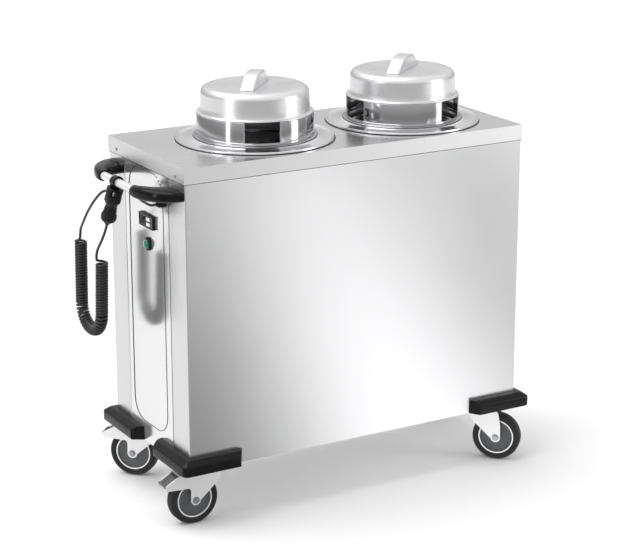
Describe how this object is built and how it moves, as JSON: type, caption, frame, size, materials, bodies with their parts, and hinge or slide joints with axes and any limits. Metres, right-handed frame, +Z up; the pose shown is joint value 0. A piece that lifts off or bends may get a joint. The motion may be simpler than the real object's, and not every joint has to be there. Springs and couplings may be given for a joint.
{
  "type": "heated two-well plate dispenser cart",
  "caption": "Stainless steel mobile plate dispenser cart with round wells, lifting lids, a push handle, corner bumpers, swivel castors and a curly mains cord parked on the handle",
  "frame": {"origin": "on the floor, under the middle of the cart's outline without its cord and plug", "axes": "X along the cabinet with the handle end at -X, Y from the front panel at -Y to the back panel, Z up"},
  "size_m": [1.0762, 0.4998, 1.0526],
  "materials": {
    "satin_steel": "satin, fine grain along the panel",
    "polished_steel": "bright, fine grain, mirrors softly",
    "plain_steel": "mill finish inside the cabinet",
    "lid_aluminium": "satin, spun",
    "zinc_plate": "bright zinc plate",
    "black_moulding": "fine moulded texture",
    "tyre_rubber": "smooth tread, matt",
    "wheel_grey": "moulded",
    "cord_black": "smooth, slightly glossy sheath",
    "plug_rubber": "matt",
    "key_white": "moulded",
    "lens_green": "clear, ribbed inside"
  },
  "bodies": {
    "root": {"back_handle_elbow": "black_moulding", "back_left_bumper": "black_moulding", "back_left_castor_plate": "zinc_plate", "back_panel": "satin_steel", "back_right_bumper": "black_moulding", "back_right_castor_plate": "zinc_plate", "base_pan": "satin_steel", "controller_housing": "black_moulding", "cord_gland": "black_moulding", "curly_cord": "cord_black", "deck_top": "satin_steel", "front_handle_elbow": "black_moulding", "front_left_bumper": "black_moulding", "front_left_castor_plate": "zinc_plate", "front_panel": "satin_steel", "front_right_bumper": "black_moulding", "front_right_castor_plate": "zinc_plate", "handle_tube": "polished_steel", "left_end_panel": "polished_steel", "left_guide_collar": "polished_steel", "left_heater": "plain_steel", "left_spring_1": "plain_steel", "left_spring_2": "plain_steel", "left_well_flange": "polished_steel", "left_well_tube": "plain_steel", "plug": "plug_rubber", "plug_holder": "black_moulding", "plug_lead": "cord_black", "power_switch_bezel": "black_moulding", "right_end_panel": "polished_steel", "right_guide_collar": "polished_steel", "right_heater": "plain_steel", "right_spring_1": "plain_steel", "right_spring_2": "plain_steel", "right_well_flange": "polished_steel", "right_well_tube": "plain_steel", "supply_lead": "cord_black"},
    "left_platform": {"left_platform": "polished_steel"},
    "left_lid": {"left_lid": "lid_aluminium", "left_lid_grip": "lid_aluminium"},
    "right_platform": {"right_platform": "polished_steel"},
    "right_lid": {"right_lid": "lid_aluminium", "right_lid_grip": "lid_aluminium"},
    "controller_key_1": {"controller_key_1": "key_white"},
    "controller_key_2": {"controller_key_2": "key_white"},
    "power_switch_lens": {"power_switch_lens": "lens_green"},
    "front_left_fork": {"front_left_castor_fork": "zinc_plate"},
    "front_left_wheel": {"front_left_tyre": "tyre_rubber", "front_left_wheel": "wheel_grey"},
    "front_left_pedal": {"front_left_brake_pedal": "zinc_plate"},
    "back_left_fork": {"back_left_castor_fork": "zinc_plate"},
    "back_left_wheel": {"back_left_tyre": "tyre_rubber", "back_left_wheel": "wheel_grey"},
    "back_left_pedal": {"back_left_brake_pedal": "zinc_plate"},
    "front_right_fork": {"front_right_castor_fork": "zinc_plate"},
    "front_right_wheel": {"front_right_tyre": "tyre_rubber", "front_right_wheel": "wheel_grey"},
    "back_right_fork": {"back_right_castor_fork": "zinc_plate"},
    "back_right_wheel": {"back_right_tyre": "tyre_rubber", "back_right_wheel": "wheel_grey"}
  },
  "joints": [
    {"name": "left_platform_drop", "type": "slide", "parent": "root", "child": "left_platform", "axis": [0, 0, -1], "range_m": [0, 0.4], "stiffness_N_per_m": 200, "springref_m": -0.15, "deforming": ["left_spring_1", "left_spring_2"]},
    {"name": "left_lid_lift", "type": "slide", "parent": "root", "child": "left_lid", "axis": [0, 0, 1], "range_m": [0, 0.15]},
    {"name": "right_platform_drop", "type": "slide", "parent": "root", "child": "right_platform", "axis": [0, 0, -1], "range_m": [0, 0.4], "stiffness_N_per_m": 200, "springref_m": -0.15, "deforming": ["right_spring_1", "right_spring_2"]},
    {"name": "right_lid_lift", "type": "slide", "parent": "root", "child": "right_lid", "axis": [0, 0, 1], "range_m": [0, 0.15]},
    {"name": "key_1_press", "type": "slide", "parent": "root", "child": "controller_key_1", "axis": [1, 0, 0], "range_m": [0, 0.001], "stiffness_N_per_m": 500, "springref_m": -0.001},
    {"name": "key_2_press", "type": "slide", "parent": "root", "child": "controller_key_2", "axis": [1, 0, 0], "range_m": [0, 0.001], "stiffness_N_per_m": 500, "springref_m": -0.001},
    {"name": "power_switch_press", "type": "slide", "parent": "root", "child": "power_switch_lens", "axis": [1, 0, 0], "range_m": [0, 0.003], "stiffness_N_per_m": 500, "springref_m": -0.002},
    {"name": "front_left_swivel", "type": "hinge", "parent": "root", "child": "front_left_fork", "pos_m": [-0.37558, -0.16936, 0.133], "axis": [0, 0, 1], "continuous": true},
    {"name": "front_left_roll", "type": "hinge", "parent": "front_left_fork", "child": "front_left_wheel", "pos_m": [-0.41358, -0.16936, 0.0625], "axis": [0, -1, 0], "continuous": true},
    {"name": "front_left_brake", "type": "hinge", "parent": "front_left_fork", "child": "front_left_pedal", "pos_m": [-0.46025, -0.16936, 0.12455], "axis": [0, -1, 0], "range_deg": [0, 18]},
    {"name": "back_left_swivel", "type": "hinge", "parent": "root", "child": "back_left_fork", "pos_m": [-0.37558, 0.15064, 0.133], "axis": [0, 0, 1], "continuous": true},
    {"name": "back_left_roll", "type": "hinge", "parent": "back_left_fork", "child": "back_left_wheel", "pos_m": [-0.40198, 0.17797, 0.0625], "axis": [-0.7193, -0.6947, 0], "continuous": true},
    {"name": "back_left_brake", "type": "hinge", "parent": "back_left_fork", "child": "back_left_pedal", "pos_m": [-0.43439, 0.21154, 0.12455], "axis": [-0.7193, -0.6947, 0], "range_deg": [0, 18]},
    {"name": "front_right_swivel", "type": "hinge", "parent": "root", "child": "front_right_fork", "pos_m": [0.43442, -0.16936, 0.133], "axis": [0, 0, 1], "continuous": true},
    {"name": "front_right_roll", "type": "hinge", "parent": "front_right_fork", "child": "front_right_wheel", "pos_m": [0.46082, -0.1967, 0.0625], "axis": [0.7193, 0.6947, 0], "continuous": true},
    {"name": "back_right_swivel", "type": "hinge", "parent": "root", "child": "back_right_fork", "pos_m": [0.43442, 0.15064, 0.133], "axis": [0, 0, 1], "continuous": true},
    {"name": "back_right_roll", "type": "hinge", "parent": "back_right_fork", "child": "back_right_wheel", "pos_m": [0.47159, 0.15854, 0.0625], "axis": [-0.2079, 0.9781, 0], "continuous": true}
  ]
}
